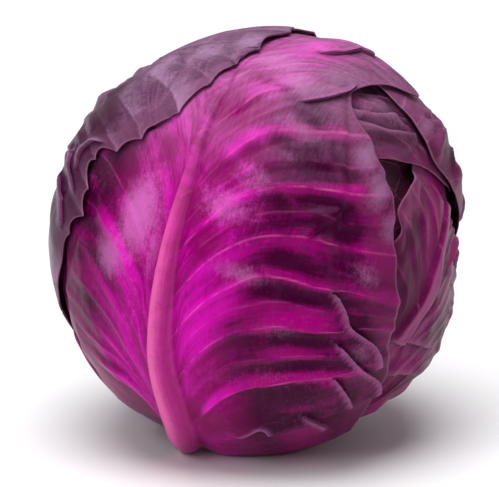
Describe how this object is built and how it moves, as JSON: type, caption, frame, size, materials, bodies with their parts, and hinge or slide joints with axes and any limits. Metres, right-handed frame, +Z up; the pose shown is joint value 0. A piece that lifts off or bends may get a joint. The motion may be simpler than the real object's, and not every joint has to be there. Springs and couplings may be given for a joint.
{
  "type": "red cabbage head",
  "caption": "Round red cabbage head of overlapping ribbed leaves with wavy margins, resting on its trimmed stem.",
  "frame": {"origin": "middle of the head's bounds, at floor level", "axes": "+Z up from the floor it rests on, -Y towards its front, where the broad magenta leaf's midrib rises"},
  "size_m": [0.1583, 0.157, 0.1595],
  "materials": {
    "heart_leaves": "matte purple leaf, folded tight",
    "cut_stem": "pale fibrous cut stem, slightly dried",
    "mauve_leaf": "satin mauve leaf with fine raised veins",
    "magenta_leaf": "satin magenta leaf, pink midrib, dark between the veins",
    "bloom_leaf": "satin leaf under a pale waxy bloom"
  },
  "bodies": {
    "root": {"heart": "heart_leaves", "stem": "cut_stem", "lower_right_leaf": "mauve_leaf", "left_leaf": "mauve_leaf", "right_leaf": "mauve_leaf", "crown_leaf": "mauve_leaf", "right_back_leaf": "mauve_leaf", "front_leaf": "magenta_leaf", "left_back_leaf": "bloom_leaf"}
  },
  "joints": []
}
